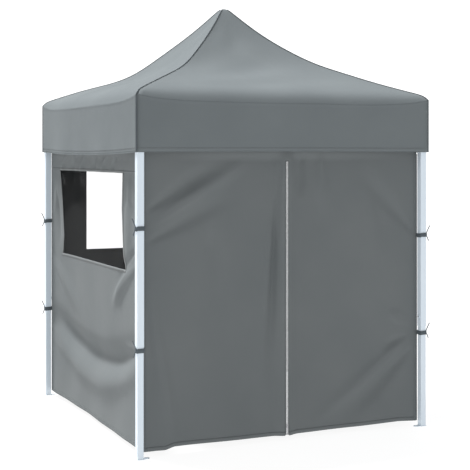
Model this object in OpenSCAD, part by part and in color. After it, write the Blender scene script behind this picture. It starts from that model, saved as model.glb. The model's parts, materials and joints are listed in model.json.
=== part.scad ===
// Folding gazebo: four telescopic legs, a scissor truss round a centre hub with a peak pole,
// one canopy with a deep valance, and four side walls. All sizes are in millimetres.
// The origin is on the ground under the tent's middle. +X runs right along the front, -Y is the front.
// Side k is the front turned k quarter turns about Z: front, right, back, left. Corner k is at its right end.

/* [Plan and heights] */
// Distance from the tent's middle to each leg's axis, along X and along Y
leg_half = 960; // [930:5:990]
// Height of the truss's upper pivots
upper_z = 2045; // [2030:5:2050]
// Drop from the truss's upper pivots to its lower ones
truss_drop = 260; // [230:5:270]
// Height of the canopy's peak
peak_z = 2729; // [2700:1:2760]
// Height of the valance's lower edge
valance_z = 1750; // [1700:5:1755]

/* [Legs] */
// Side of the square outer leg tube
outer_tube = 42; // [40:1:44]
// Side of the square inner leg tube
inner_tube = 38; // [34:1:38]
// Wall of both leg tubes
tube_wall = 1.2; // [1:0.1:1.5]
// Height of the outer leg's open lower end
outer_leg_z = 640; // [600:10:700]
// Height of the inner leg's top end, inside the outer leg
inner_leg_top = 1300; // [1200:10:1400]
// Reach of the foot flange past the inner leg
flange_reach = 42; // [36:1:46]
// Radius of the peg hole in the foot flange
peg_hole_r = 5.5; // [4:0.5:7]

/* [Scissor truss] */
// Height of the rectangular bar tube
bar_h = 25; // [20:1:25]
// Thickness of the rectangular bar tube
bar_t = 12.5; // [10:0.5:12.5]
// Wall of the bar tube
bar_wall = 1; // [1:0.1:1.5]
// Distance from a leg's axis to the pivots on its bracket and slider
end_offset = 55; // [55:1:60]
// Radius of the rivets
rivet_r = 3; // [2.5:0.1:3.5]
// Gap round a rivet in the hole it turns in
rivet_gap = 0.08; // [0.05:0.01:0.1]

/* [Covers] */
// Half of the canopy's width and length
canopy_half = 990; // [988:1:1000]
// Thickness of the canopy's cloth
canopy_t = 1.2; // [0.8:0.1:2]
// Fall of the canopy per millimetre just below the peak
steep_fall = 1.15; // [1:0.01:1.2]
// Fall of the canopy per millimetre half way up
mid_fall = 0.83; // [0.8:0.01:0.9]
// Fall of the canopy per millimetre in its outer part
flat_fall = 0.38; // [0.35:0.01:0.4]
// How far the middle of a roof panel hangs below its hips
panel_sag = 26; // [10:1:30]
// Half of each wall's width
wall_half = 932; // [900:1:932]
// Distance from the tent's middle to a wall's cloth
wall_plane = 937; // [930:1:938]
// Thickness of a wall's cloth
wall_t = 1; // [0.6:0.1:1.4]
// Height of a wall's lower hem
wall_bottom = 30; // [25:1:60]
// Height of a wall's upper edge, behind the valance
wall_top = 1800; // [1790:1:1810]
// Half of a window's width
window_half = 680; // [500:1:700]
// Height of a window's lower edge
window_bottom = 1045; // [1000:5:1100]
// Height of a window's upper edge
window_top = 1625; // [1600:5:1650]

/* [Hidden] */
SIDES = ["front", "right", "back", "left"];
CORNERS = ["front_right", "back_right", "back_left", "front_left"];
ROOT_NODES = ["centre_hub", "peak_pole", "peak_cap", "canopy", "wall_front", "wall_right", "wall_back",
              "wall_left", "clear_windows", "door_zip", "zip_slider", "zip_pull"];
SIDE_NODES = ["strut", "mid_connector", "bar_up_right", "bar_down_right", "bar_up_left", "bar_down_left"];
CORNER_NODES = ["outer_leg", "top_bracket", "truss_slider", "lock_pin", "inner_leg", "height_button"];
$fn = 48;

lower_z = upper_z - truss_drop;
reach = leg_half - end_offset;           // from the middle of a side to a bracket's pivot
bar_length = norm([reach, truss_drop]);  // between a bar's end pivots
rest_tilt = atan(truss_drop / reach);
layer = (bar_t + 1.5) / 2;               // each bar layer's distance from the side's plane
bar_end = 14;                            // bar past its end pivots
strut_h = 22;
strut_end = 9;
hub_offset = 23;                         // from the tent's middle to a strut's upper pivot
mid_offset = end_offset - hub_offset;    // from a side's plane to a strut's lower pivot
hole_r = rivet_r + rivet_gap;
open_hole_r = rivet_r + 0.3;             // where the linkage is open, the rivet only passes through
side_gap = 0.3;                          // between a bar's face and what it turns beside
head_r = 5.5;
head_t = 1.8;
fork_gap = 0.4;
fork_t = 3;
fork_h = 22;
fork_end = 9;
sleeve = outer_tube + 8;                 // outside of the bracket and the slider
sleeve_bore = outer_tube + 0.6;
slider_h = 60;
outer_leg_top = 2068;
cap_r = 26;
cap_top = peak_z - 7;
pole_r = 12.5;
hub_plate_z = upper_z + 16;
hub_plate_t = 10;
pin_r = 2.5;
pin_z = lower_z - 19;
pin_y = -leg_half - 14;
boss_r = 6.5;
boss_h = 6;
button_r = 4;
button_z = outer_leg_z + 60;
foot_t = 3;
corner_r = 3;                            // outside corners of the leg tubes
peg_x = leg_half - inner_tube / 2 - flange_reach + 16;
zip_bottom = 35;
zip_top = 1700;
chain_w = 5;                             // one half of the zip chain
chain_gap = 2;                           // between the chain's halves, where the slider's bridge runs
chain_t = 2.4;
tape_w = 12;
zip_slider_z = 80;
zip_slider_h = 22;
notch_half = 25;
notch_z = 1755;

steel = [0.87, 0.90, 0.93];
dark_plastic = [0.16, 0.17, 0.18];
cloth = [0.38, 0.40, 0.41];

// ---------- shared shapes ----------

// A square with corners rounded to radius r
module rounded_square(side, r) {
    square([side, side - 2 * r], center = true);
    square([side - 2 * r, side], center = true);
    for (x = [-1, 1], y = [-1, 1]) translate([x * (side / 2 - r), y * (side / 2 - r)]) circle(r);
}

// An open square tube standing on z = 0
module square_tube(side, wall, height) {
    linear_extrude(height) difference() {
        rounded_square(side, corner_r);
        rounded_square(side - 2 * wall, corner_r - wall);
    }
}

// A cylinder along Y from y0 to y1
module y_rod(r, y0, y1) {
    translate([0, y1, 0]) rotate([90, 0, 0]) cylinder(r = r, h = y1 - y0);
}

// A cylinder along X from x0 to x1
module x_rod(r, x0, x1) {
    translate([x0, 0, 0]) rotate([0, 90, 0]) cylinder(r = r, h = x1 - x0);
}

// A bar of rectangular tube along +X, its first pivot at the origin. holes lists [distance, radius]
module bar_tube(length, height, past, holes) {
    difference() {
        translate([-past, -bar_t / 2, -height / 2]) cube([length + 2 * past, bar_t, height]);
        translate([-past - 1, -bar_t / 2 + bar_wall, -height / 2 + bar_wall])
            cube([length + 2 * past + 2, bar_t - 2 * bar_wall, height - 2 * bar_wall]);
        for (h = holes) translate([h[0], 0, 0]) y_rod(h[1], -bar_t, bar_t);
    }
}

// A rivet fixed in its own bar, through the bar beside it. toward is +1 or -1 along Y
module bar_rivet(toward) {
    far = 2 * layer + bar_t / 2 + side_gap;
    rotate([-90 * toward, 0, 0]) {
        translate([0, 0, -bar_t / 2]) cylinder(r = rivet_r, h = bar_t / 2 + far);
        translate([0, 0, -bar_t / 2 - head_t]) cylinder(r = head_r, h = head_t);
        translate([0, 0, far]) cylinder(r = head_r, h = head_t);
    }
}

// Puts a bar that points along +X on the front side's plane, from height z, tilted by rise degrees
module on_side(side_layer, z, rise) {
    translate([0, -leg_half + side_layer * layer, z]) rotate([0, -rise, 0]) children();
}

// The fork that holds a bar's right-hand end, and its rivet, on the front side
module fork(side_layer, z) {
    inner = bar_t / 2 + fork_gap;
    x0 = reach - fork_end;
    translate([0, -leg_half + side_layer * layer, z]) {
        for (s = [-1, 1]) translate([x0, s * (inner + fork_t / 2) - fork_t / 2, -fork_h / 2])
            cube([leg_half - sleeve / 2 - x0 + 1, fork_t, fork_h]);
        translate([reach, 0, 0]) y_rod(rivet_r, -inner - 1, inner + 1);
    }
}

// The two forks of a bracket or slider: one for its own side, and one for the next side's left end
module two_forks(side_layer, z) {
    fork(side_layer, z);
    rotate([0, 0, 90]) mirror([1, 0, 0]) fork(-side_layer, z);
}

// ---------- hub, pole and cap ----------

module centre_hub() color(dark_plastic) {
    lug_x = bar_t / 2 + fork_gap;
    lug_t = 4;
    difference() {
        union() {
            translate([0, 0, hub_plate_z]) cylinder(r = 42, h = hub_plate_t);
            translate([0, 0, hub_plate_z + hub_plate_t - 1]) cylinder(r = pole_r + 4.5, h = 51);
        }
        translate([0, 0, hub_plate_z + 4]) cylinder(r = pole_r + 0.2, h = 100);
    }
    for (k = [0:3]) rotate([0, 0, 90 * k]) {
        for (s = [-1, 1]) translate([s * (lug_x + lug_t / 2) - lug_t / 2, -36, upper_z - 11])
            cube([lug_t, 24, hub_plate_z - upper_z + 12]);
        translate([0, -hub_offset, upper_z]) x_rod(rivet_r, -lug_x - 1, lug_x + 1);
    }
}

module peak_pole() color(steel) {
    translate([0, 0, hub_plate_z + 4.2]) difference() {
        cylinder(r = pole_r, h = cap_top - 22 - hub_plate_z - 4.2);
        translate([0, 0, -1]) cylinder(r = pole_r - tube_wall, h = 1000);
    }
}

// The rounded mushroom that the canopy's peak rests on, with a socket for the pole
module peak_cap() color(dark_plastic) {
    dome_r = 28;
    skirt_z = cap_top - dome_r + sqrt(pow(dome_r, 2) - pow(cap_r, 2));
    difference() {
        union() {
            intersection() {
                translate([0, 0, cap_top - dome_r]) sphere(r = dome_r, $fn = 64);
                translate([0, 0, skirt_z - 6]) cylinder(r = cap_r, h = 100);
            }
            translate([0, 0, cap_top - 90]) cylinder(r = pole_r + 4, h = 75);
        }
        translate([0, 0, cap_top - 100]) cylinder(r = pole_r + 0.2, h = 100 - 21.8);
    }
}

// ---------- one side of the scissor truss, drawn on the front ----------

module strut() color(steel) {
    translate([0, -hub_offset, upper_z]) rotate([0, 0, -90]) rotate([0, rest_tilt, 0])
        bar_tube(bar_length, strut_h, strut_end, [[0, hole_r], [bar_length, hole_r]]);
}

// Joins the strut's outer end to the two lower bar ends
module mid_connector() color(dark_plastic) {
    face = layer + bar_t / 2 + side_gap;
    lug_x = bar_t / 2 + fork_gap;
    lug_t = 4;
    plate_t = 2;
    translate([0, -leg_half, lower_z]) {
        translate([-17, face, -17]) cube([34, plate_t, 34]);
        y_rod(rivet_r, -face, face + 1);
        y_rod(head_r, -face - head_t, -face);
        for (s = [-1, 1]) translate([s * (lug_x + lug_t / 2) - lug_t / 2, face + 1, -10])
            cube([lug_t, mid_offset + 8 - face - 1, 20]);
        translate([0, mid_offset, 0]) x_rod(rivet_r, -lug_x - 1, lug_x + 1);
    }
}

module bar_up_right() color(steel) on_side(-1, lower_z, rest_tilt) {
    bar_tube(bar_length, bar_h, bar_end, [[0, hole_r], [bar_length, hole_r]]);
    translate([bar_length / 2, 0, 0]) bar_rivet(1);
}

module bar_down_right() color(steel) on_side(1, upper_z, -rest_tilt) {
    bar_tube(bar_length, bar_h, bar_end, [[bar_length / 2, hole_r], [bar_length, hole_r]]);
    bar_rivet(-1);
}

module bar_up_left() color(steel) mirror([1, 0, 0]) on_side(1, lower_z, rest_tilt) {
    bar_tube(bar_length, bar_h, bar_end, [[0, hole_r], [bar_length, open_hole_r]]);
    translate([bar_length / 2, 0, 0]) bar_rivet(-1);
}

module bar_down_left() color(steel) mirror([1, 0, 0]) on_side(-1, upper_z, -rest_tilt)
    bar_tube(bar_length, bar_h, bar_end,
             [[0, open_hole_r], [bar_length / 2, hole_r], [bar_length, open_hole_r]]);

// ---------- one corner, drawn at the front right ----------

// The upper leg tube, with the boss that its height button slides in
module outer_leg() color(steel) {
    face_x = leg_half - outer_tube / 2;
    difference() {
        union() {
            translate([leg_half, -leg_half, outer_leg_z])
                square_tube(outer_tube, tube_wall, outer_leg_top - outer_leg_z);
            translate([0, -leg_half, button_z]) x_rod(button_r + 4, face_x - boss_h, face_x + 0.5);
        }
        translate([0, -leg_half, button_z]) x_rod(button_r + rivet_gap, face_x - 10, face_x + 2);
    }
}

// The cap over the leg's top, with forks for the upper bar ends
module top_bracket() color(dark_plastic) {
    top = outer_leg_top + 4;
    difference() {
        translate([leg_half - sleeve / 2, -leg_half - sleeve / 2, upper_z - 34])
            cube([sleeve, sleeve, top - upper_z + 34]);
        translate([leg_half - sleeve_bore / 2, -leg_half - sleeve_bore / 2, upper_z - 40])
            cube([sleeve_bore, sleeve_bore, outer_leg_top + 0.2 - upper_z + 40]);
    }
    two_forks(-1, upper_z);
}

// Runs on the outer leg, with forks for the lower bar ends and a boss for the lock pin
module truss_slider() color(dark_plastic) {
    face_x = leg_half - sleeve / 2;
    difference() {
        union() {
            translate([face_x, -leg_half - sleeve / 2, lower_z - slider_h / 2])
                cube([sleeve, sleeve, slider_h]);
            translate([0, pin_y, pin_z]) x_rod(boss_r, face_x - boss_h, face_x + 1);
        }
        translate([leg_half - sleeve_bore / 2, -leg_half - sleeve_bore / 2, lower_z - slider_h])
            cube([sleeve_bore, sleeve_bore, 2 * slider_h]);
        translate([0, pin_y, pin_z]) x_rod(pin_r + rivet_gap, face_x - 10, leg_half - sleeve_bore / 2 + 1);
    }
    two_forks(1, lower_z);
}

// A sprung pin with a knob, pulled out of the slider to free it
module lock_pin() color("black") {
    face_x = leg_half - sleeve / 2;
    translate([0, pin_y, pin_z]) {
        x_rod(pin_r, face_x - boss_h - 7, leg_half - sleeve_bore / 2 - 0.2);
        x_rod(5.5, face_x - boss_h - 12, face_x - boss_h - 6);
    }
}

// A sprung button that frees the inner leg
module height_button() color("black") {
    face_x = leg_half - outer_tube / 2;
    translate([0, -leg_half, button_z]) {
        x_rod(button_r, face_x - boss_h - 2.5, face_x - 1.6);
        translate([face_x - boss_h - 3.5, 0, 0]) rotate([0, 90, 0])
            cylinder(r1 = button_r - 1, r2 = button_r, h = 1);
    }
}

// The lower leg tube on its foot plate. The plate's flange points at the tent's middle along X
module inner_leg(corner) color(steel) {
    sx = corner < 2 ? 1 : -1;
    sy = corner == 1 || corner == 2 ? 1 : -1;
    plate = inner_tube + 5;
    translate([sx * leg_half, sy * leg_half, 0]) {
        translate([0, 0, foot_t - 1]) square_tube(inner_tube, tube_wall, inner_leg_top - foot_t + 1);
        translate([-plate / 2, -plate / 2, 0]) cube([plate, plate, foot_t]);
        mirror([sx < 0 ? 1 : 0, 0, 0]) difference() {
            union() {
                translate([peg_x - leg_half, -16, 0]) cube([leg_half - peg_x, 32, foot_t]);
                translate([peg_x - leg_half, 0, 0]) cylinder(r = 16, h = foot_t);
            }
            translate([peg_x - leg_half, 0, -1]) cylinder(r = peg_hole_r, h = foot_t + 2);
        }
    }
}

// ---------- canopy ----------

// A bend that starts at r = at and is over within about three widths
function bend(r, at, width) = width * ln(1 + exp((r - at) / width));

// Height of a hip seam where the square ring round the middle has the half side r
function hip_z(r) = peak_z - steep_fall * bend(r, 15, 8) + (steep_fall - mid_fall) * bend(r, 170, 50)
                    + (mid_fall - flat_fall) * bend(r, 470, 50) - 1.2 * bend(r, canopy_half - 15, 10);

// Height of the roof at r, at the share t from -1 to 1 along that ring's side
function roof_z(r, t) = hip_z(r) - panel_sag * (1 - t * t) * pow(sin(180 * pow(r / canopy_half, 0.75)), 2);

ring_half = [6, 12, 20, 32, 50, 80, 120, 170, 230, 300, 370, 430, 500, 580, 680, 780, 870, 930, 960, 978, 990];
ring_cuts = 12;

// One square ring of points, from the front's left end, at half side r and at the heights that z gives
function ring(r, heights) = [for (k = [0:3], j = [0:ring_cuts - 1])
    let (t = -1 + 2 * j / ring_cuts, x = r * t, y = -r, a = 90 * k)
    [x * cos(a) - y * sin(a), x * sin(a) + y * cos(a), heights[j]]];

function roof_heights(r, drop) = [for (j = [0:ring_cuts - 1]) roof_z(r, -1 + 2 * j / ring_cuts) - drop];
function flat_heights(z) = [for (j = [0:ring_cuts - 1]) z];

// A closed cloth shell: outer rings from the peak to the valance's edge, then the inner ones back up
module canopy() color(cloth) {
    scale_to = canopy_half / ring_half[len(ring_half) - 1];
    outer = concat([for (r = ring_half) ring(r * scale_to, roof_heights(r * scale_to, 0))],
                   [for (z = [1990, 1870, valance_z]) ring(canopy_half, flat_heights(z))]);
    inner_half = canopy_half - canopy_t;
    inner = concat([for (z = [valance_z, 1870, 1990]) ring(inner_half, flat_heights(z))],
                   [for (i = [len(ring_half) - 1:-1:0])
                       let (r = ring_half[i] * scale_to)
                       ring(min(r, inner_half), roof_heights(r, canopy_t * 1.3))]);
    rings = concat(outer, inner);
    n = 4 * ring_cuts;
    last = len(rings) - 1;
    points = concat([for (one = rings) each one],
                    [[0, 0, roof_z(0, 1)], [0, 0, roof_z(0, 1) - canopy_t * 1.3]]);
    top = len(points) - 2;
    polyhedron(points, concat(
        [for (i = [0:last - 1], j = [0:n - 1]) each
            [[i * n + j, i * n + (j + 1) % n, (i + 1) * n + (j + 1) % n],
             [i * n + j, (i + 1) * n + (j + 1) % n, (i + 1) * n + j]]],
        [for (j = [0:n - 1]) [top, (j + 1) % n, j]],
        [for (j = [0:n - 1]) [top + 1, last * n + j, last * n + (j + 1) % n]]), convexity = 10);
}

// ---------- walls ----------

// A flat panel on side k from its outline, thickness t, centred on distance d from the tent's middle
module on_wall(k, d, t) {
    rotate([0, 0, 90 * k]) translate([0, -d + t / 2, 0]) rotate([90, 0, 0]) linear_extrude(t) children();
}

// A wall's outline: notched at the top for the mid connector
module wall_outline() {
    difference() {
        translate([-wall_half, wall_bottom]) square([2 * wall_half, wall_top - wall_bottom]);
        translate([-notch_half, notch_z]) square([2 * notch_half, wall_top]);
    }
}

module window_wall(k) color(cloth) on_wall(k, wall_plane, wall_t) difference() {
    wall_outline();
    translate([-window_half, window_bottom]) square([2 * window_half, window_top - window_bottom]);
}

// The front wall has a slit for the door's zip
module wall_front() color(cloth) on_wall(0, wall_plane, wall_t) difference() {
    wall_outline();
    translate([-tape_w, wall_bottom - 1]) square([2 * tape_w, zip_top - wall_bottom + 1]);
}

// The three clear films, welded inside their openings
module clear_windows() color([0.85, 0.9, 0.92, 0.4]) for (k = [1:3])
    on_wall(k, wall_plane - wall_t / 2 - 0.5, 0.4)
        translate([-window_half - 15, window_bottom - 15])
            square([2 * window_half + 30, window_top - window_bottom + 30]);

// Two tapes, each with its half of the chain, joined at the top by the stop
module door_zip() color("white") {
    on_wall(0, wall_plane, 0.6) for (s = [0, 1]) mirror([s, 0])
        translate([chain_gap / 2 + chain_w - 1, zip_bottom])
            square([tape_w - 0.3 - chain_gap / 2 - chain_w + 1, zip_top - zip_bottom - 2]);
    on_wall(0, wall_plane, chain_t) {
        for (s = [0, 1]) mirror([s, 0]) translate([chain_gap / 2, zip_bottom])
            square([chain_w, zip_top - zip_bottom - 2]);
        translate([-chain_gap / 2 - 1, zip_top - 10]) square([chain_gap + 2, 8]);
    }
}

module zip_slider() color("silver") {
    plate_w = 14;
    front_y = -wall_plane - chain_t / 2 - 0.4;
    translate([0, 0, zip_slider_z]) {
        translate([-plate_w / 2, front_y - 1.6, 0]) cube([plate_w, 1.6, zip_slider_h]);
        translate([-plate_w / 2, -wall_plane + chain_t / 2 + 0.4, 0]) cube([plate_w, 1.6, zip_slider_h]);
        translate([-0.6, front_y - 1, 4]) cube([1.2, chain_t + 2.8, 14]);
        for (s = [-1, 1]) translate([s * 3.5 - 0.75, front_y - 6.6, 8]) cube([1.5, 5.6, 6]);
        translate([0, front_y - 4.6, 11]) x_rod(0.8, -4, 4);
    }
}

// The tab that hangs from the slider's bar
module zip_pull() color("silver") {
    y = -wall_plane - chain_t / 2 - 5;
    z = zip_slider_z + 11;
    difference() {
        union() {
            translate([0, y, z]) x_rod(1.8, -2.5, 2.5);
            translate([-2.5, y - 0.8, z - 7]) cube([5, 1.6, 7]);
            translate([-4, y - 0.8, z - 40]) cube([8, 1.6, 34]);
        }
        translate([0, y, z]) x_rod(0.88, -3, 3);
    }
}

// ---------- the list ----------

centre_hub();
peak_pole();
peak_cap();
canopy();
wall_front();
for (k = [1:3]) {
    window_wall(k);
}
clear_windows();
door_zip();
zip_slider();
zip_pull();
for (k = [0:3]) {
    side = SIDES[k];
    corner = CORNERS[k];
    rotate([0, 0, 90 * k]) {
        strut();
        mid_connector();
        bar_up_right();
        bar_down_right();
        bar_up_left();
        bar_down_left();
        outer_leg();
        top_bracket();
        truss_slider();
        lock_pin();
        height_button();
    }
    inner_leg(k);
}
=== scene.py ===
"""Folding gazebo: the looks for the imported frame. Metres, in the row frame: the origin is on the ground under
the tent's middle, +X runs right along the front and -Y is the front. Side k is the front turned k quarter
turns, so the sides run front, right, back, left, and corner k is at the right end of side k."""
import json
import math

import bpy
import numpy as np
from mathutils import Matrix, Vector

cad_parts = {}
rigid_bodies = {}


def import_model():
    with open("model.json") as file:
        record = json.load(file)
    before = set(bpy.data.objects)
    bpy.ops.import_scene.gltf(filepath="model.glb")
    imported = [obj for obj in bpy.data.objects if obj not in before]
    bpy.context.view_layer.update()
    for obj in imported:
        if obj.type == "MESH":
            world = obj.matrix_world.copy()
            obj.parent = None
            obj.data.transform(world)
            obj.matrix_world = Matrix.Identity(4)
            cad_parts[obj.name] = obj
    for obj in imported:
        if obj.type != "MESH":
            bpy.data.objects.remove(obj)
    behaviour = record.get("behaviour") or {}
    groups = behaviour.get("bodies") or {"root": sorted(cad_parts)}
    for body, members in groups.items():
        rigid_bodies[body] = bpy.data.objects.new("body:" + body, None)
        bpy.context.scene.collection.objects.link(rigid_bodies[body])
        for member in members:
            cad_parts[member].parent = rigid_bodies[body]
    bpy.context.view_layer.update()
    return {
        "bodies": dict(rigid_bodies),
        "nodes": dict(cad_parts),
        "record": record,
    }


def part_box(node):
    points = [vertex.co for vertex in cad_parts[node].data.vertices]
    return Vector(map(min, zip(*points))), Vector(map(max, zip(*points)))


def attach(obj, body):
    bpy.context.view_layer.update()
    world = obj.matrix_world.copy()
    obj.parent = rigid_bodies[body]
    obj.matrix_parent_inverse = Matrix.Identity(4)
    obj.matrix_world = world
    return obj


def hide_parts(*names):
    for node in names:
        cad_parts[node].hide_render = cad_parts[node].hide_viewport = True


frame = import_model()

# ---------------------------------------------------------------- sizes, from the frame
SIDES = ("front", "right", "back", "left")
SIGNS = {"front_right": (1, -1), "back_right": (1, 1), "back_left": (-1, 1), "front_left": (-1, -1)}
CORNERS = list(SIGNS)
ROOT = "hub_and_covers"
CANOPY_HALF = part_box("canopy")[1].x
VALANCE_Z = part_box("canopy")[0].z
PEAK_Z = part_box("canopy")[1].z
leg_lo, leg_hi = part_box("front_right_outer_leg")
LEG = -(leg_lo.y + leg_hi.y) / 2
OUTER_HALF = (leg_hi.y - leg_lo.y) / 2
OUTER_LEG_Z = leg_lo.z
INNER_HALF = 0.019
WALL_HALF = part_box("wall_left")[1].y
WALL_PLANE = -(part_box("wall_left")[0].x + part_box("wall_left")[1].x) / 2
WALL_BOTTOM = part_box("wall_left")[0].z
WALL_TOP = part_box("wall_left")[1].z
FILM_LAP = 0.015
WINDOW_HALF = -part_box("clear_windows")[0].y - FILM_LAP
WINDOW_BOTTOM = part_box("clear_windows")[0].z + FILM_LAP
WINDOW_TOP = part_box("clear_windows")[1].z - FILM_LAP
SLIT_HALF = 0.012
ZIP_TOP = 1.700
NOTCH_HALF = 0.025
NOTCH_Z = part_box("front_mid_connector")[0].z - 0.004
CLOTH_T = 0.001                # the walls' cloth
CANOPY_T = 0.0012
TRIM_T = 0.0008                # hems, borders, corner strips
CELL = 0.0125                  # the pitch of the walls' grids
FOOT_HEM = 0.024
SIDE_HEM = 0.018
BORDER_WIDTH = 0.018
BORDER_STITCH = 0.014          # how far a window's stitching stands from its opening
STITCH_LIFT = 0.0018
TIE_TALL = 0.025
TIE_T = 0.0016
TIE_GAP = 0.0030               # from a leg to the middle of its tie's tape
TIE_HEIGHTS = {"front_right": (1.222, 0.599), "back_right": (1.260, 0.612), "back_left": (1.256, 0.625),
               "front_left": (1.315, 0.622)}
SOFT = []                      # every piece that gathers with the legs when the truss folds
STIFF_HALF = 0.026             # half of the strip along the middle that keeps its width, over the zip's tapes
BILLOW = 0.12                  # in the fold, the middle of a side comes in less than the legs by this share


# ---------------------------------------------------------------- camera, light and floor
def add_camera():
    data = bpy.data.cameras.new("camera")
    data.sensor_width = 36
    data.lens = 87.4
    data.shift_x = 0.0018
    data.shift_y = -0.1755
    camera = bpy.data.objects.new("camera", data)
    camera.location = (-3.205, -7.092, 1.75)
    camera.rotation_euler = (math.radians(90), 0, math.radians(-24.85))
    bpy.context.scene.collection.objects.link(camera)
    bpy.context.scene.camera = camera


def add_world(ambient, seen):
    """An even white sky: `ambient` lights the scene, and `seen` is what the camera sees behind the tent."""
    world = bpy.data.worlds.new("sky")
    world.use_nodes = True
    nodes, links = world.node_tree.nodes, world.node_tree.links
    nodes.clear()
    out = nodes.new("ShaderNodeOutputWorld")
    mix = nodes.new("ShaderNodeMixShader")
    path = nodes.new("ShaderNodeLightPath")
    for socket, strength, colour in ((1, ambient, (0.97, 0.985, 1.0, 1)), (2, seen, (1, 1, 1, 1))):
        background = nodes.new("ShaderNodeBackground")
        background.inputs["Color"].default_value = colour
        background.inputs["Strength"].default_value = strength
        links.new(background.outputs[0], mix.inputs[socket])
    links.new(path.outputs["Is Camera Ray"], mix.inputs[0])
    links.new(mix.outputs[0], out.inputs["Surface"])
    bpy.context.scene.world = world


def add_sun(direction_to_light, strength, softness_deg):
    data = bpy.data.lights.new("sun", "SUN")
    data.energy = strength
    data.angle = math.radians(softness_deg)
    sun = bpy.data.objects.new("sun", data)
    sun.rotation_euler = Vector(direction_to_light).to_track_quat("Z", "Y").to_euler()
    bpy.context.scene.collection.objects.link(sun)


def add_floor(glow):
    """A studio floor that glows, so that the tent's shadow is only faint on it."""
    s = Shader("pale_floor")
    s.set(Emission_Color=(1, 1, 1, 1), Emission_Strength=glow)
    s.colour(s.ramp(s.noise(4, 3), (0.13, 0.13, 0.13), (0.14, 0.14, 0.14)))
    s.rough(s.spread(s.noise(20, 3), 0.60, 0.75))
    corners = [(-30, -30, -0.001), (30, -30, -0.001), (30, 30, -0.001), (-30, 30, -0.001)]
    add_object("floor", corners, [(0, 1, 2, 3)], s.material)


# ---------------------------------------------------------------- material helpers
class Shader:
    """A Principled material under construction, with short names for the nodes this script uses."""

    def __init__(self, name):
        self.material = bpy.data.materials.new(name)
        self.material.use_nodes = True
        self.nodes = self.material.node_tree.nodes
        self.links = self.material.node_tree.links
        self.principled = self.nodes["Principled BSDF"]
        self.place = self.add("ShaderNodeTexCoord").outputs["Object"]

    def add(self, kind, **settings):
        node = self.nodes.new(kind)
        for key, value in settings.items():
            setattr(node, key, value)
        return node

    def set(self, **sockets):
        for key, value in sockets.items():
            self.principled.inputs[key.replace("_", " ")].default_value = value

    def noise(self, scale, detail=4.0, stretch=(1, 1, 1)):
        mapping = self.add("ShaderNodeMapping")
        mapping.inputs["Scale"].default_value = stretch
        self.links.new(self.place, mapping.inputs["Vector"])
        node = self.add("ShaderNodeTexNoise")
        node.inputs["Scale"].default_value = scale
        node.inputs["Detail"].default_value = detail
        self.links.new(mapping.outputs[0], node.inputs["Vector"])
        return node.outputs["Fac"]

    def ramp(self, value, low, high, start=0.3, end=0.7):
        """Maps a value to a colour between two colours."""
        node = self.add("ShaderNodeValToRGB")
        node.color_ramp.elements[0].position = start
        node.color_ramp.elements[0].color = (*low, 1)
        node.color_ramp.elements[1].position = end
        node.color_ramp.elements[1].color = (*high, 1)
        self.links.new(value, node.inputs[0])
        return node.outputs[0]

    def spread(self, value, low, high):
        """Maps 0..1 to low..high."""
        node = self.add("ShaderNodeMapRange")
        node.inputs["To Min"].default_value = low
        node.inputs["To Max"].default_value = high
        self.links.new(value, node.inputs["Value"])
        return node.outputs[0]

    def threads(self, direction, pitch):
        """A thread every `pitch` metres along `direction`, as a smooth wave from -1 to 1."""
        dot = self.add("ShaderNodeVectorMath", operation="DOT_PRODUCT")
        dot.inputs[1].default_value = [2 * math.pi / pitch * d for d in direction]
        self.links.new(self.place, dot.inputs[0])
        sine = self.add("ShaderNodeMath", operation="SINE")
        self.links.new(dot.outputs["Value"], sine.inputs[0])
        return sine.outputs[0]

    def combine(self, a, b, operation="MULTIPLY"):
        node = self.add("ShaderNodeMath", operation=operation)
        self.links.new(a, node.inputs[0])
        self.links.new(b, node.inputs[1])
        return node.outputs[0]

    def bump(self, height, distance, strength=1.0):
        """Adds one layer of bump on top of those already there."""
        node = self.add("ShaderNodeBump")
        node.inputs["Distance"].default_value = distance
        node.inputs["Strength"].default_value = strength
        self.links.new(height, node.inputs["Height"])
        normal = self.principled.inputs["Normal"]
        if normal.links:
            self.links.new(normal.links[0].from_socket, node.inputs["Normal"])
        self.links.new(node.outputs[0], normal)

    def colour(self, socket):
        self.links.new(socket, self.principled.inputs["Base Color"])

    def rough(self, socket):
        self.links.new(socket, self.principled.inputs["Roughness"])


def cloth(name, low, high, warp, weft, thread=0.0018, crumple=0.0012):
    """Coated polyester: a fine plain weave, a faint crumple and slow changes of shade."""
    s = Shader(name)
    s.set(Sheen_Weight=0.05, Sheen_Roughness=0.5, Specular_IOR_Level=0.12)
    s.colour(s.ramp(s.noise(2.2, 5), low, high))
    s.rough(s.spread(s.noise(14, 3), 0.62, 0.78))
    s.bump(s.noise(11, 6), crumple, 0.6)
    s.bump(s.combine(s.threads(warp, thread), s.threads(weft, thread)), 0.00012, 0.5)
    return s.material


def paint(name, low, high, roughness=(0.28, 0.42)):
    """Powder-coated steel: orange-peel bump, slight shade changes and scuffs along the length."""
    s = Shader(name)
    s.set(Metallic=0.0, Coat_Weight=0.25, Coat_Roughness=0.2)
    s.colour(s.ramp(s.noise(7, 5, (1, 1, 0.25)), low, high))
    s.rough(s.spread(s.noise(60, 4, (1, 1, 0.08)), *roughness))
    s.bump(s.noise(900, 2), 0.00012, 0.35)
    s.bump(s.noise(26, 3, (1, 1, 0.05)), 0.0003, 0.3)
    return s.material


def plastic(name, low, high, grain=1400):
    """Moulded plastic with a fine spark-eroded grain."""
    s = Shader(name)
    s.colour(s.ramp(s.noise(40, 3), low, high))
    s.rough(s.spread(s.noise(180, 3), 0.38, 0.55))
    s.bump(s.noise(grain, 2), 0.00015, 0.5)
    return s.material


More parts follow.
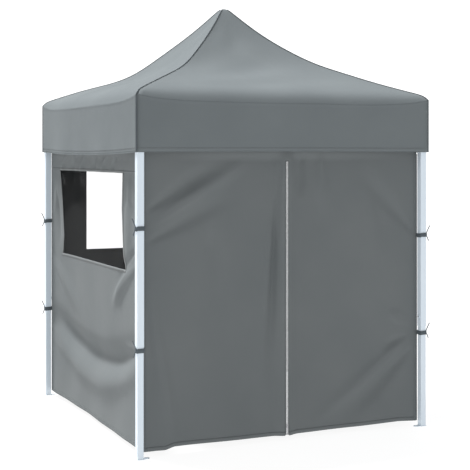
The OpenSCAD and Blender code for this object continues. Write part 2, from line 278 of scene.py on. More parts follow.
def steel(name, tint, roughness=(0.22, 0.38)):
    """Bright steel with fine brushed marks."""
    s = Shader(name)
    s.set(Metallic=1.0)
    s.colour(s.ramp(s.noise(55, 4), [0.82 * c for c in tint], tint))
    s.rough(s.spread(s.noise(400, 3, (1, 0.1, 1)), *roughness))
    s.bump(s.noise(700, 2, (1, 0.08, 1)), 0.00006, 0.4)
    return s.material


def clear_film(name):
    """Thin clear vinyl: almost nothing but its gloss and a slow ripple."""
    s = Shader(name)
    s.set(Alpha=0.05, Specular_IOR_Level=0.5)
    s.colour(s.ramp(s.noise(3, 3), (0.05, 0.055, 0.06), (0.08, 0.085, 0.09)))
    s.rough(s.spread(s.noise(5, 3), 0.05, 0.12))
    s.bump(s.noise(4, 2), 0.004, 0.5)
    return s.material


# ---------------------------------------------------------------- mesh helpers
def add_object(name, verts, faces, material):
    mesh = bpy.data.meshes.new(name)
    mesh.from_pydata([tuple(v) for v in verts], [], faces)
    mesh.validate()
    mesh.polygons.foreach_set("use_smooth", [True] * len(mesh.polygons))
    mesh.materials.append(material)
    obj = bpy.data.objects.new(name, mesh)
    bpy.context.scene.collection.objects.link(obj)
    return obj


def grid_faces(rows, cols, keep=None, wrap=False, start=0):
    """Quads of a rows x cols grid of points, without the cells where keep is False."""
    faces = []
    for i in range(rows - 1):
        for j in range(cols if wrap else cols - 1):
            if keep is None or keep[i][j]:
                n = (j + 1) % cols
                faces.append((start + i * cols + j, start + i * cols + n,
                              start + (i + 1) * cols + n, start + (i + 1) * cols + j))
    return faces


def thicken(obj, thickness, painted_shade_lining=None):
    """Gives a sheet its thickness, and its inner face the lining's material: a near-black cloth whose colour is
    painted shade for the unlit inside of the tent.
    """
    solid = obj.modifiers.new("thickness", "SOLIDIFY")
    solid.thickness = thickness
    solid.offset = 0
    if painted_shade_lining:
        obj.data.materials.append(painted_shade_lining)
        solid.material_offset = 1
    return obj


def rounded(obj, width, segments=2):
    bevel = obj.modifiers.new("edges", "BEVEL")
    bevel.width = width
    bevel.segments = segments
    bevel.limit_method = "ANGLE"
    bevel.harden_normals = False
    return obj


def add_tube(name, paths, radius, material, sides=8):
    """Round tubes along several paths, joined in one object, with closed ends."""
    verts, faces = [], []
    for path in paths:
        path = [Vector(p) for p in path]
        start = len(verts)
        for i, point in enumerate(path):
            along = (path[min(i + 1, len(path) - 1)] - path[max(i - 1, 0)]).normalized()
            side = along.cross(Vector((0.31, 0.17, 0.93))).normalized()
            other = along.cross(side)
            for a in range(sides):
                turn = 2 * math.pi * a / sides
                verts.append(point + radius * (math.cos(turn) * side + math.sin(turn) * other))
        faces += grid_faces(len(path), sides, wrap=True, start=start)
        faces.append(tuple(range(start, start + sides))[::-1])
        faces.append(tuple(range(len(verts) - sides, len(verts))))
    return add_object(name, verts, faces, material)


def add_prisms(name, prisms, material):
    """One object from several prisms, each an outline of (x, z) places carried from y0 to y1."""
    verts, faces = [], []
    for outline, y0, y1 in prisms:
        start, count = len(verts), len(outline)
        verts += [(x, y, z) for y in (y0, y1) for x, z in outline]
        faces.append(tuple(range(start, start + count)))
        faces.append(tuple(range(start + count, start + 2 * count))[::-1])
        faces += [f[::-1] for f in grid_faces(2, count, wrap=True, start=start)]
    return add_object(name, verts, faces, material)


def rectangle(x0, x1, z0, z1):
    return [(x0, z0), (x1, z0), (x1, z1), (x0, z1)]


def add_stitches(name, paths, material, pitch=0.009, length=0.0055, radius=0.0006):
    """Rows of short stitches, each a four-sided bead laid along its path."""
    beads = []
    for path in paths:
        path = [Vector(p) for p in path]
        reach = [0.0]
        for a, b in zip(path, path[1:]):
            reach.append(reach[-1] + (b - a).length)
        i = 0
        for n in range(int(reach[-1] / pitch)):
            place = (n + 0.5) * pitch
            while reach[i + 1] < place:
                i += 1
            middle = path[i].lerp(path[i + 1], (place - reach[i]) / (reach[i + 1] - reach[i]))
            half = (path[i + 1] - path[i]).normalized() * length / 2
            beads.append((middle - half, middle, middle + half))
    return add_tube(name, beads, radius, material, sides=4)


def turned(k, points):
    """Points of the front side, turned to side k."""
    c, s = ((1, 0), (0, 1), (-1, 0), (0, -1))[k % 4]
    p = np.asarray(points, float)
    return np.stack([c * p[..., 0] - s * p[..., 1], s * p[..., 0] + c * p[..., 1], p[..., 2]], -1)


def smooth(t):
    t = np.clip(t, 0, 1)
    return t * t * (3 - 2 * t)


def soft(obj):
    """A piece of the covers: it rides on the root body and gathers with the legs."""
    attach(obj, ROOT)
    SOFT.append(obj)
    return obj


# ---------------------------------------------------------------- canopy
# The hips' fall per metre: just below the peak, half way up, and in the outer part
STEEP_FALL, MID_FALL, FLAT_FALL = 1.15, 0.83, 0.38
PANEL_SAG = 0.026              # how far a panel's middle hangs below its hips


def bend(r, at, width):
    """A rounded bend: 0 before `at`, then rising one for one."""
    return width * np.logaddexp(0, (r - at) / width)


def roof_z(r, t):
    """Height of the roof at distance r from the middle, and t from -1 to 1 across a panel."""
    hip = PEAK_Z - STEEP_FALL * bend(r, 0.015, 0.008) + (STEEP_FALL - MID_FALL) * bend(r, 0.170, 0.050)
    hip = hip + (MID_FALL - FLAT_FALL) * bend(r, 0.470, 0.050) - 1.2 * bend(r, CANOPY_HALF - 0.015, 0.010)
    sag = PANEL_SAG * (1 - t ** 2) * np.sin(math.pi * (r / CANOPY_HALF) ** 0.75) ** 2
    soft_eave = 0.75 * bend(r, CANOPY_HALF - 0.050, 0.022) * (1 - t ** 6)
    return hip - sag - soft_eave


# How much lower each corner's hip hangs half way along it
HIP_SLACK = {"front_right": -0.014, "back_right": 0.0, "back_left": 0.020, "front_left": 0.004}
# How far the middle of each valance's lower edge hangs below its ends
VALANCE_SAG = {"front": -0.004, "right": 0.008, "back": 0.005, "left": 0.018}


def roof_points(k, r, t, lift=0.0):
    """Points of roof panel k, with a faint ripple along the eave and a pull towards the corners."""
    ripple = 0.0016 * np.sin(9 * t + 2 * k) * smooth(r / 0.3) * (1 - t ** 2)
    pull = 0.0022 * np.sin(22 * r + 5 * t + k) * (1 - t ** 2) * smooth(r / 0.25) * smooth((0.95 - r) / 0.2)
    right, left = HIP_SLACK[CORNERS[k]], HIP_SLACK[CORNERS[k - 1]]
    slack = (right * (1 + t) + left * (1 - t)) / 2 * np.sin(math.pi * smooth((r - 0.10) / 0.86)) ** 2
    z = roof_z(r, t) + ripple + pull + lift - slack
    return turned(k, np.stack([t * r, -r + 0 * t, z], -1))


def valance_points(k, t, drop, lift=0.0):
    """Points of valance k: t from -1 to 1 along it, drop from 0 at the eave to 1 at its lower edge."""
    edge = VALANCE_Z + 0.002 - VALANCE_SAG[SIDES[k]] * (1 - t ** 2)
    top = roof_z(CANOPY_HALF, t)
    z = top - drop * (top - edge)
    wave = (0.0040 * np.sin(6.5 * t + 1.7 * k) + 0.0022 * np.sin(15 * t + k)) * (1 - t ** 8) * drop
    out = CANOPY_HALF - 0.0015 + wave - 0.003 * (1 - t ** 2) * drop + lift
    return turned(k, np.stack([t * CANOPY_HALF, -out + 0 * z, z + 0 * t], -1))


def make_canopy(material, painted_shade_lining, piping, thread):
    steps = 56
    across = np.linspace(-1, 1, steps, endpoint=False)
    radii = np.concatenate([np.linspace(0.003, 0.05, 14), np.linspace(0.065, 0.93, 50),
                            np.linspace(0.94, CANOPY_HALF, 18)])
    rows = [np.concatenate([roof_points(k, r + 0 * across, across) for k in range(4)]) for r in radii]
    for drop in np.linspace(0.02, 1, 22):
        rows.append(np.concatenate([valance_points(k, across, drop) for k in range(4)]))
    cols = 4 * steps
    verts = np.concatenate(rows)
    faces = [f[::-1] for f in grid_faces(len(rows), cols, wrap=True)] + [tuple(range(cols))]
    canopy = thicken(add_object("canopy_cloth", verts, faces, material), CANOPY_T, painted_shade_lining)
    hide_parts("canopy")
    soft(canopy)
    trim = canopy_trim(material, piping, thread)


def canopy_trim(material, piping, thread):
    """The piping on the hips, the rolled lower hem, and the rows of stitching."""
    hips, hems, stitches = [], [], []
    for k in range(4):
        r = np.linspace(0.018, CANOPY_HALF, 80)
        hips.append(np.concatenate([roof_points(k, r, 1 + 0 * r, 0.0012),
                                    valance_points(k, np.ones(8), np.linspace(0.03, 1, 8), 0.0012)]))
        t = np.linspace(-0.999, 0.999, 90)
        for drop in (0.915, 0.93):
            stitches.append(valance_points(k, t, drop + 0 * t, 0.0009))
        hems.append(valance_points(k, t, 0.995 + 0 * t))
        r = np.linspace(0.06, 0.96, 80)
        for edge in (0.010, -0.010):
            turn = np.where(edge > 0, 1 - edge / r, -1 - edge / r)
            stitches.append(roof_points(k, r, turn, 0.0009))
    hip_piping = soft(add_tube("canopy_piping", hips, 0.0032, piping))
    hem_roll = soft(add_tube("canopy_hem_roll", hems, 0.0019, material))
    seams = soft(add_stitches("canopy_stitching", stitches, thread))
    return [hip_piping, hem_roll, seams]


# ---------------------------------------------------------------- walls
# A fold is (start, end, width, depth): it runs from (s, z) to (s, z), where s runs right along the wall as
# seen from outside. A negative depth is a furrow, a positive one a ridge.
FOLDS = {
    "front": [
        ((-0.93, 1.31), (-0.20, 1.74), 0.040, 0.020), ((-0.93, 1.40), (-0.42, 1.70), 0.045, -0.022),
        ((-0.93, 1.22), (-0.30, 1.52), 0.050, -0.016), ((-0.93, 1.16), (-0.70, -0.10), 0.032, 0.020),
        ((-0.90, 0.90), (-0.84, -0.20), 0.035, -0.014), ((-0.030, 1.76), (-0.125, 0.30), 0.030, -0.024),
        ((-0.10, 1.30), (-0.20, 0.05), 0.060, 0.010), ((-0.50, 1.30), (-0.44, 0.20), 0.110, -0.014),
        ((0.93, 0.62), (0.12, 0.02), 0.045, 0.020), ((0.93, 0.52), (0.35, 0.02), 0.060, -0.020),
        ((0.93, 0.60), (0.66, 0.50), 0.030, -0.018), ((0.93, 0.66), (0.70, 0.74), 0.030, 0.014),
        ((0.93, 1.22), (0.50, 1.66), 0.050, -0.012), ((0.12, 1.78), (0.10, 1.45), 0.035, -0.016),
        ((0.24, 1.76), (0.26, 1.35), 0.045, 0.010), ((0.60, 1.45), (0.64, 0.55), 0.100, 0.010),
    ],
    "left": [
        ((-0.62, 1.76), (-0.60, 1.52), 0.040, 0.016), ((-0.40, 1.76), (-0.42, 1.52), 0.045, -0.020),
        ((-0.17, 1.76), (-0.18, 1.52), 0.045, 0.016), ((0.07, 1.76), (0.05, 1.52), 0.045, -0.020),
        ((0.28, 1.76), (0.26, 1.52), 0.045, 0.016), ((0.46, 1.76), (0.47, 1.52), 0.035, -0.016),
        ((0.88, 1.10), (0.38, 0.78), 0.040, 0.022), ((0.88, 1.20), (0.50, 0.94), 0.035, -0.012),
        ((-0.93, 1.02), (-0.20, 0.62), 0.060, 0.016), ((-0.93, 1.26), (-0.74, 1.55), 0.035, 0.014),
        ((-0.80, 1.50), (-0.76, 1.05), 0.035, -0.016), ((0.78, 1.60), (0.74, 1.05), 0.040, 0.016),
        ((0.93, 1.31), (0.70, 1.52), 0.030, -0.012), ((0.93, 0.62), (0.52, 0.56), 0.030, 0.010),
    ],
    "right": [
        ((-0.93, 1.24), (-0.68, 1.54), 0.040, 0.016), ((0.93, 1.26), (0.70, 1.52), 0.040, 0.016),
        ((-0.93, 0.61), (-0.35, 0.24), 0.050, -0.020), ((0.93, 0.61), (0.40, 0.30), 0.055, 0.020),
        ((-0.30, 0.99), (-0.26, 0.10), 0.070, 0.012), ((0.25, 1.76), (0.24, 1.55), 0.045, -0.016),
        ((-0.35, 1.76), (-0.33, 1.55), 0.045, 0.014), ((0.55, 0.95), (0.60, 0.10), 0.080, -0.012),
    ],
    "back": [
        ((-0.93, 1.26), (-0.70, 1.56), 0.040, -0.016), ((0.93, 1.26), (0.68, 1.54), 0.040, 0.016),
        ((-0.93, 0.62), (-0.30, 0.22), 0.055, 0.022), ((0.93, 0.62), (0.45, 0.22), 0.050, -0.020),
        ((0.10, 0.98), (0.16, 0.05), 0.060, -0.014), ((-0.40, 1.76), (-0.38, 1.55), 0.045, 0.014),
        ((0.05, 1.76), (0.07, 1.55), 0.045, -0.018), ((-0.55, 0.92), (-0.60, 0.08), 0.090, 0.010),
    ],
}
# A swag is (height at the middle, height at the legs, width, depth): a furrow or ridge between the lower ties
SWAGS = {"front": [], "left": [(0.440, 0.62, 0.085, -0.046), (0.285, 0.53, 0.080, 0.022)],
         "right": [(0.38, 0.58, 0.075, -0.022)], "back": [(0.44, 0.60, 0.075, -0.022)]}
# How far a window's left and right edges stand from their cut places, as (height, left, right)
WINDOW_DRIFT = {"left": ((1.04, -0.005, -0.085), (1.17, 0.022, -0.10), (1.41, -0.025, -0.125),
                         (1.63, -0.080, -0.112))}
# How much higher than cut a wall's hem hangs, as (s, rise)
HEM_LIFT = {"front": ((-0.93, 0.002), (-0.79, -0.003), (-0.735, 0.012), (-0.3, 0.004), (0.0, 0.0),
                      (0.5, 0.002), (0.80, 0.008), (0.93, 0.001)),
            "left": ((-0.93, 0.006), (-0.5, 0.0), (0.3, -0.004), (0.93, 0.002))}


def furrow(s, z, start, end, width, depth):
    """A soft groove or ridge along a line, which fades out towards its far end."""
    ds, dz = end[0] - start[0], end[1] - start[1]
    along = ((s - start[0]) * ds + (z - start[1]) * dz) / (ds * ds + dz * dz)
    held = np.clip(along, 0, 1)
    away = np.hypot(s - start[0] - held * ds, z - start[1] - held * dz)
    spread = width * (0.35 + 0.65 * smooth(held * 1.6))
    fade = smooth(held * 6 + 0.3) * (1 - smooth((held - 0.55) / 0.45))
    return depth * fade * np.exp(-((away / spread) ** 2))


def drape(k, s, z):
    """How far the cloth of wall k stands out from its plane. It hangs mostly inwards, clear of the truss."""
    name = SIDES[k]
    edge = 1 - (np.abs(s) / WALL_HALF) ** 10
    depth = -0.024 * (1 - (s / WALL_HALF) ** 2) - 0.0025 * np.sin(5.1 * s + 1.3 * z + k)
    looser_below = 0.4 + 0.6 * smooth((1.2 - z) / 1.0)
    depth = depth + 0.0022 * np.sin(13 * s + 2.2 * np.sin(2.3 * z + k)) * looser_below
    for start, end, width, size in FOLDS[name]:
        depth = depth + furrow(s, z, start, end, width, size)
    for middle, ends, width, size in SWAGS[name]:
        line = middle + (ends - middle) * np.abs(s / WALL_HALF) ** 2
        depth = depth + size * np.exp(-(((z - line) / width) ** 2)) * (1 - 0.6 * np.abs(s / WALL_HALF) ** 3)
    depth = np.minimum(depth, 0.0025 - 0.001 * smooth((z - 1.6) / 0.15)) * edge
    flat_top = 1 - smooth((z - 1.70) / 0.06)
    if name == "front":
        depth = depth * smooth((np.abs(s) - 0.014) / 0.07)
    return depth * flat_top


def shift(k, s, z):
    """How far the cloth of wall k is pulled sideways."""
    name = SIDES[k]
    if name not in WINDOW_DRIFT:
        return 0 * s
    heights, lefts, rights = zip(*WINDOW_DRIFT[name])
    left, right = np.interp(z, heights, lefts), np.interp(z, heights, rights)
    fade = smooth((z - 0.35) / 0.6) * (1 - smooth((z - 1.66) / 0.09))
    places = np.array([-WALL_HALF, -WINDOW_HALF, WINDOW_HALF, WALL_HALF])
    part = np.interp(s, places, [0, 1, 2, 3])
    amount = np.where(part < 1, part * left, np.where(part < 2, left + (part - 1) * (right - left),
                                                      (3 - part) * right))
    return amount * fade


def wall_points(k, s, z, lift=0.0):
    """Places of wall k at s along it and z up it, `lift` outside its cloth."""
    s, z = np.broadcast_arrays(np.asarray(s, float), np.asarray(z, float))
    lift_z = 0 * s
    if SIDES[k] in HEM_LIFT:
        places, lifts = zip(*HEM_LIFT[SIDES[k]])
        lift_z = np.interp(s, places, lifts) * (1 - smooth((z - WALL_BOTTOM) / 0.35))
    out = WALL_PLANE + drape(k, s, z) + lift
    return turned(k, np.stack([s + shift(k, s, z), -out, z + lift_z], -1))


def lines(stops, pitch):
    """Grid lines through every stop, with even steps of about `pitch` between them."""
    values = [stops[0]]
    for a, b in zip(stops, stops[1:]):
        count = max(1, round((b - a) / pitch))
        values += [a + (b - a) * i / count for i in range(1, count + 1)]
    return np.array(values)


def band(k, s, z, lift=0.0011):
    """A strip of cloth laid on wall k, over the whole grid of s and z, as vertices and faces."""
    points = wall_points(k, s[None, :], z[:, None], lift)
    return points.reshape(-1, 3), grid_faces(len(z), len(s))


def join(name, parts, material):
    """One object from several (verts, faces) parts."""
    verts, faces = [], []
    for part_verts, part_faces in parts:
        faces += [tuple(i + len(verts) for i in f) for f in part_faces]
        verts += [tuple(v) for v in part_verts]
    return add_object(name, verts, faces, material)


def window_border(k, material):
    """The welded strip round a window's opening, on the outside."""
    w, lo, hi, width = WINDOW_HALF, WINDOW_BOTTOM, WINDOW_TOP, BORDER_WIDTH
    long_s, side_z = lines((-w - width, -w, w, w + width), 0.02), lines((lo, hi), 0.02)
    parts = [band(k, long_s, lines((hi, hi + width), width / 2)),
             band(k, long_s, lines((lo - width, lo), width / 2)),
             band(k, lines((-w - width, -w), width / 2), side_z),
             band(k, lines((w, w + width), width / 2), side_z)]
    return thicken(join(f"{SIDES[k]}_window_border", parts, material), TRIM_T)


def wall_cuts(door, s, z):
    """Which cells of a wall's grid are cut away: the notch at the top, and the door's slit or the window."""
    across, up = np.abs((s[1:] + s[:-1]) / 2)[None, :], ((z[1:] + z[:-1]) / 2)[:, None]
    notch = (across < NOTCH_HALF) & (up > NOTCH_Z)
    if door:
        return notch | ((across < SLIT_HALF) & (up < ZIP_TOP))
    return notch | ((across < WINDOW_HALF) & (up > WINDOW_BOTTOM) & (up < WINDOW_TOP))


def wall_hems(k, door, halves, material):
    """The hems along a wall's foot and sides, and the seam at the head of its window."""
    foot = [band(k, lines(h, CELL), lines((WALL_BOTTOM, WALL_BOTTOM + FOOT_HEM), 0.008)) for h in halves]
    sides = [band(k, lines(h, 0.006), lines((WALL_BOTTOM, NOTCH_Z), 0.02))
             for h in ((-WALL_HALF, -WALL_HALF + SIDE_HEM), (WALL_HALF - SIDE_HEM, WALL_HALF))]
    seam_z = lines((WINDOW_TOP + 0.004, WINDOW_TOP + 0.016), 0.006)
    seam_s = () if door else ((-WALL_HALF, -WINDOW_HALF - 0.02), (WINDOW_HALF + 0.02, WALL_HALF))
    seam = [band(k, lines(h, CELL), seam_z) for h in seam_s]
    return thicken(join(f"{SIDES[k]}_wall_hems", foot + sides + seam, material), TRIM_T)


def wall_stitching(k, door, halves, thread):
    """The stitching along a wall's hems, and round its window."""
    foot_z, side_s = WALL_BOTTOM + FOOT_HEM - 0.003, WALL_HALF - SIDE_HEM + 0.003
    rows = [wall_points(k, lines(h, CELL), foot_z, STITCH_LIFT) for h in halves]
    side_z = lines((WALL_BOTTOM, NOTCH_Z), CELL)
    rows += [wall_points(k, end * side_s, side_z, STITCH_LIFT) for end in (-1, 1)]
    if not door:
        w, lo, hi = WINDOW_HALF + BORDER_STITCH, WINDOW_BOTTOM - BORDER_STITCH, WINDOW_TOP + BORDER_STITCH
        rows += [wall_points(k, lines((-w, w), CELL), height, STITCH_LIFT) for height in (lo, hi)]
        rows += [wall_points(k, end * w, lines((lo, hi), CELL), STITCH_LIFT) for end in (-1, 1)]
    return add_stitches(f"{SIDES[k]}_wall_stitching", rows, thread)


def make_wall(k, material, painted_shade_lining, border_material, thread):
    """One side wall: the front is the door, with its slit, and each of the others has a window."""
    name = SIDES[k]
    door = name == "front"
    if door:
        stops_s = (-WALL_HALF, -SLIT_HALF, SLIT_HALF, WALL_HALF)
        stops_z = (WALL_BOTTOM, ZIP_TOP, NOTCH_Z, WALL_TOP)
        halves = (stops_s[:2], stops_s[2:])
    else:
        stops_s = (-WALL_HALF, -WINDOW_HALF, -NOTCH_HALF, NOTCH_HALF, WINDOW_HALF, WALL_HALF)
        stops_z = (WALL_BOTTOM, WINDOW_BOTTOM, WINDOW_TOP, NOTCH_Z, WALL_TOP)
        halves = ((-WALL_HALF, WALL_HALF),)
    s, z = lines(stops_s, CELL), lines(stops_z, CELL)
    points = wall_points(k, s[None, :], z[:, None]).reshape(-1, 3)
    faces = grid_faces(len(z), len(s), keep=~wall_cuts(door, s, z))
    wall = thicken(add_object(f"{name}_wall_cloth", points, faces, material), CLOTH_T, painted_shade_lining)
    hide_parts(f"wall_{name}")
    soft(wall)
    pieces = [soft(wall_hems(k, door, halves, material))]
    if not door:
        pieces.append(soft(window_border(k, border_material)))
    pieces.append(soft(wall_stitching(k, door, halves, thread)))


def make_windows(material):
    """The three clear films, each laid inside its wall with a small lap round the opening."""
    lap = FILM_LAP - 0.003
    s = lines((-WINDOW_HALF - lap, WINDOW_HALF + lap), CELL)
    z = lines((WINDOW_BOTTOM - lap, WINDOW_TOP + lap), CELL)
    parts = [band(k, s, z, -0.0012) for k in (1, 2, 3)]
    windows = thicken(join("window_films", parts, material), 0.0003)
    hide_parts("clear_windows")
    soft(windows)


# ---------------------------------------------------------------- door zip
def make_zip(tape_material, tooth_material, metal):
    bottom, top = WALL_BOTTOM + 0.005, ZIP_TOP - 0.002
    tapes = [band(0, lines(h, 0.005), lines((bottom, top), 0.02), -0.0011)
             for h in ((-0.022, -0.0055), (0.0055, 0.022))]
    tape = thicken(join("door_zip_tape", tapes, tape_material), 0.0007)
    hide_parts("door_zip")
    soft(tape)
    teeth = []
    pitch, tooth_h = 0.0036, 0.0024
    for n in range(int((top - bottom) / pitch)):
        for side in (-1, 1):
            z = bottom + (n + 0.5 * (side > 0)) * pitch
            x0, x1 = sorted((-side * 0.0012, side * 0.0064))
            teeth.append((rectangle(x0, x1, z, z + tooth_h), -WALL_PLANE - 0.0014, -WALL_PLANE + 0.0008))
    soft(add_prisms("door_zip_teeth", teeth, tooth_material))
    stop_y = -WALL_PLANE - 0.0008
    places = [(x, z) for x in (-0.003, 0.003) for z in (bottom + 0.004, top - 0.004)]
    stops = add_tube("door_zip_stops", [[(x, stop_y, z - 0.004), (x, stop_y, z + 0.004)] for x, z in places],
                     0.0022, metal)
    rounded(soft(stops), 0.0004)


def follow_front_legs(obj):
    """Moves a piece in with the two front legs, as the door's cloth moves when the truss folds."""
    for corner in ("front_right", "front_left"):
        follow = obj.constraints.new("COPY_LOCATION")
        follow.target = frame["bodies"][f"{corner}_outer_leg"]
        follow.use_offset = True
        follow.influence = (1 - BILLOW) / 2


def make_slider(metal):
    """The zip's slider and its pull, in place of the plain blocks."""
    lo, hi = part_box("zip_slider")
    pin_y, pin_z = lo.y + 0.0020, lo.z + 0.0110
    plate = [(x, lo.z + z) for x, z in ((-0.0045, 0), (0.0045, 0), (0.007, 0.009), (0.007, 0.019),
                                        (0.0045, 0.022), (-0.0045, 0.022), (-0.007, 0.019), (-0.007, 0.009))]
    prisms = [(plate, hi.y - 0.0016, hi.y), (plate, lo.y + 0.0056, lo.y + 0.0072),
              (rectangle(-0.0006, 0.0006, lo.z + 0.004, lo.z + 0.018), lo.y + 0.0060, hi.y - 0.0004)]
    prisms += [(rectangle(x - 0.00075, x + 0.00075, lo.z + 0.008, lo.z + 0.014), lo.y, lo.y + 0.0060)
               for x in (-0.0035, 0.0035)]
    slider = add_prisms("zip_slider_body", prisms, metal)
    pin = add_tube("zip_slider_pin", [[(x, pin_y, pin_z) for x in (-0.004, 0, 0.004)]], 0.0008, metal)
    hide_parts("zip_slider")
    tab = [(x, pin_z - z) for x, z in ((0.0025, 0.0015), (0.0025, 0.007), (0.004, 0.010), (0.004, 0.037),
                                       (0.0025, 0.040), (-0.0025, 0.040), (-0.004, 0.037), (-0.004, 0.010),
                                       (-0.0025, 0.007), (-0.0025, 0.0015))][::-1]
    ribs = [(rectangle(-0.003, 0.003, pin_z - z, pin_z - z + 0.001), pin_y - 0.0011, pin_y - 0.0007)
            for z in (0.022, 0.026, 0.030, 0.034)]
    pull = add_prisms("zip_pull_tab", [(tab, pin_y - 0.0008, pin_y + 0.0008), *ribs], metal)
    turn_on = [(x, pin_y, pin_z) for x in (-0.0024, 0, 0.0024)]
    knuckle = add_tube("zip_pull_knuckle", [turn_on], 0.0018, metal, sides=16)
    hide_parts("zip_pull")
    for body, pieces in (("zip_slider", (slider, pin)), ("zip_pull", (pull, knuckle))):
        for piece in pieces:
            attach(piece, body)
            follow_front_legs(piece)
    for piece in (slider, pull):
        rounded(piece, 0.0003)


def make_corner_joins(material, painted_shade_lining):
    """The strip inside each corner that closes two walls' edges against the leg."""
    lap_from = 0.900
    s = lines((lap_from, WALL_HALF), 0.006)
    z = lines((WALL_BOTTOM + 0.004, 1.74), 0.02)
    inside = 0.0040
    nose = LEG - OUTER_HALF - 0.0012
    parts = []
    for k in range(4):
        here = wall_points(k, s[None, :], z[:, None], -inside)
        there = wall_points((k + 1) % 4, -s[None, ::-1], z[:, None], -inside)
        corner = turned(k, np.stack([nose + 0 * z, -nose + 0 * z, z], -1))[:, None, :]
        points = np.concatenate([here, corner, there], axis=1)
        parts.append((points.reshape(-1, 3), grid_faces(len(z), 2 * len(s) + 1)))
    strips = soft(thicken(join("corner_joins", parts, material), TRIM_T, painted_shade_lining))


# ---------------------------------------------------------------- ties round the legs
def tie_loop(name, x, y, height, half, material):
    """A tape round a square leg, a little bowed over its height and never quite level."""
    corner_r, grow = 0.004, half + TIE_GAP
    ring = []
    for turn, (cx, cy) in enumerate(((1, 1), (-1, 1), (-1, -1), (1, -1))):
        for step in range(5):
            a = math.radians(90 * turn + 90 * step / 4)
            ring.append((cx * (grow - corner_r) + corner_r * math.cos(a),
                         cy * (grow - corner_r) + corner_r * math.sin(a)))
    verts = []
    levels = np.linspace(-0.5, 0.5, 7)
    for level in levels:
        scale = 1 + 0.0005 * (1 + math.cos(math.pi * 3 * level)) / half
        for i, (dx, dy) in enumerate(ring):
            slip = 0.0025 * math.sin(2 * math.pi * i / len(ring) + 2 * height)
            verts.append((x + dx * scale, y + dy * scale, height + TIE_TALL * level + slip))
    faces = grid_faces(len(levels), len(ring), wrap=True)
    return thicken(add_object(name, verts, faces, material), TIE_T)


def tie_tails(name, x, y, height, half, material):
    """The knot on the leg's outer side, with one long tail up and one short tail down."""
    out_x = math.copysign(1, x)
    face, front = x + out_x * (half + 0.0042), y - 0.010
    steps = np.linspace(0, 1, 7)
    bow = [(face, front + 0.006 * math.cos(a), height + 0.007 * math.sin(a)) for a in np.linspace(0, 6.3, 9)]
    long_tail = [(face + out_x * 0.026 * t, front - 0.006 * t, height + 0.004 + 0.066 * t - 0.010 * t * t)
                 for t in steps]
    short_tail = [(face + out_x * 0.018 * t, front - 0.002 * t, height - 0.004 - 0.034 * t ** 1.8)
                  for t in steps]
    return add_tube(name, [bow, long_tail, short_tail], 0.0028, material)


def make_tie(corner, x, y, height, material):
    half = OUTER_HALF if height > OUTER_LEG_Z else INNER_HALF
    number = round(height * 100)
    loop = tie_loop(f"{corner}_tie_{number}", x, y, height, half, material)
    tails = tie_tails(f"{corner}_tie_tails_{number}", x, y, height, half, material)
    for piece in (loop, tails):
        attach(piece, f"{corner}_outer_leg")


# ---------------------------------------------------------------- gathering with the fold
def gather():
    """Pulls every soft piece in with the four legs, by its place between them, and lets it billow."""
    reach = WALL_HALF - 0.002
    for obj in SOFT:
        places = np.array([v.co for v in obj.data.vertices], float)
        u, v = [np.sign(p) * np.clip((np.abs(p) - STIFF_HALF) / (reach - STIFF_HALF), 0, 1)
                for p in (places[:, 0], places[:, 1])]
        u, v = u * (1 - BILLOW * (1 - v ** 6)), v * (1 - BILLOW * (1 - u ** 6))
        for corner, (sx, sy) in SIGNS.items():
            weights = (1 + sx * u) * (1 + sy * v) / 4
            group = obj.vertex_groups.new(name=corner)
            for index, weight in enumerate(weights):
                group.add([index], float(weight), "REPLACE")
            hook = obj.modifiers.new(f"with_{corner}_leg", "HOOK")
            hook.object = frame["bodies"][f"{corner}_outer_leg"]
            hook.vertex_group = corner
            hook.falloff_type = "NONE"
            hook.strength = 1.0
            hook.matrix_inverse = Matrix.Identity(4)
            with bpy.context.temp_override(object=obj):
                bpy.ops.object.modifier_move_to_index(modifier=hook.name, index=0)


# ---------------------------------------------------------------- frame finishes
def finish_frame(finishes):
    """Gives every CAD node that stays its finish, by its material slot in the record."""
    for part in frame["record"]["subparts"]:
        node = frame["nodes"][part["node"]]
        slot = part["material_slot"]
        if slot in finishes:
            node.data.materials.clear()
            node.data.materials.append(finishes[slot])


bpy.context.scene.view_settings.view_transform = "Standard"
add_camera()
add_world(ambient=0.47, seen=1.30)
add_sun((-0.26, 0.44, 1.20), 5.0, 10)
add_sun((-0.20, -0.02, 0.08), 0.26, 6)
add_floor(glow=0.92)

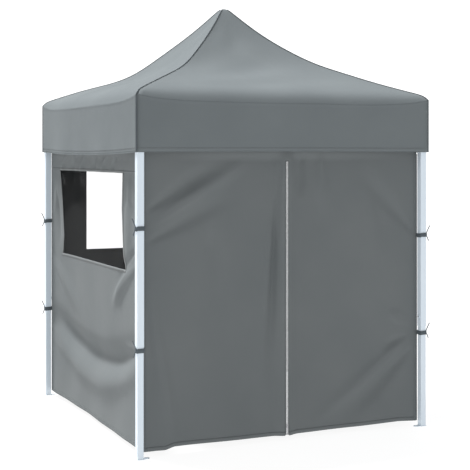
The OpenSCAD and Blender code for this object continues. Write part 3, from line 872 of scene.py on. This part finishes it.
CANOPY_CLOTH = cloth("canopy_cloth", (0.163, 0.184, 0.193), (0.180, 0.202, 0.210), (1, 0, 0), (0, 1, 0))
WALL_CLOTH = cloth("wall_cloth", (0.155, 0.171, 0.176), (0.170, 0.185, 0.189), (1, 1, 0), (0, 0, 1))
# The lining's near-black colour is painted shade: it stands for the unlit inside of the tent.
PAINTED_SHADE_LINING = cloth("painted_shade_lining", (0.022, 0.024, 0.024), (0.030, 0.033, 0.033), (1, 1, 0), (0, 0, 1))
BORDER = cloth("window_border", (0.185, 0.198, 0.200), (0.200, 0.213, 0.215), (1, 1, 0), (0, 0, 1))
PIPING = cloth("piping", (0.090, 0.105, 0.116), (0.108, 0.124, 0.136), (1, 0, 0), (0, 1, 0), thread=0.0012)
TIE = cloth("tie_tape", (0.092, 0.112, 0.128), (0.112, 0.133, 0.148), (1, 1, 0), (0, 0, 1), thread=0.0012)
THREAD = cloth("thread", (0.10, 0.105, 0.105), (0.13, 0.135, 0.135), (1, 1, 0), (0, 0, 1), thread=0.0008)
ZIP_TAPE = cloth("zip_tape", (0.16, 0.175, 0.18), (0.18, 0.195, 0.20), (1, 0, 0), (0, 0, 1), thread=0.0010)
ZIP_WHITE = plastic("zip_white", (0.80, 0.81, 0.82), (0.88, 0.89, 0.90))
ZIP_METAL = steel("zip_metal", (0.62, 0.62, 0.64))
FILM = clear_film("clear_film")
LEG_PAINT = paint("leg_paint", (0.77, 0.87, 0.96), (0.81, 0.90, 0.98))

finish_frame({
    "leg_paint": LEG_PAINT,
    "truss_paint": paint("truss_paint", (0.60, 0.64, 0.68), (0.68, 0.72, 0.76)),
    "dark_plastic": plastic("dark_plastic", (0.020, 0.022, 0.024), (0.032, 0.034, 0.036)),
    "pin_steel": steel("pin_steel", (0.70, 0.70, 0.72)),
    "button_plastic": plastic("button_plastic", (0.10, 0.10, 0.11), (0.13, 0.13, 0.14)),
    "zip_metal": ZIP_METAL,
})

make_canopy(CANOPY_CLOTH, PAINTED_SHADE_LINING, PIPING, THREAD)
for side in range(4):
    make_wall(side, WALL_CLOTH, PAINTED_SHADE_LINING, BORDER, THREAD)
make_windows(FILM)
make_corner_joins(WALL_CLOTH, PAINTED_SHADE_LINING)
make_zip(ZIP_TAPE, ZIP_WHITE, ZIP_METAL)
make_slider(ZIP_METAL)
for corner, (px, py) in SIGNS.items():
    for tie_z in TIE_HEIGHTS[corner]:
        make_tie(corner, px * LEG, py * LEG, tie_z, TIE)
gather()
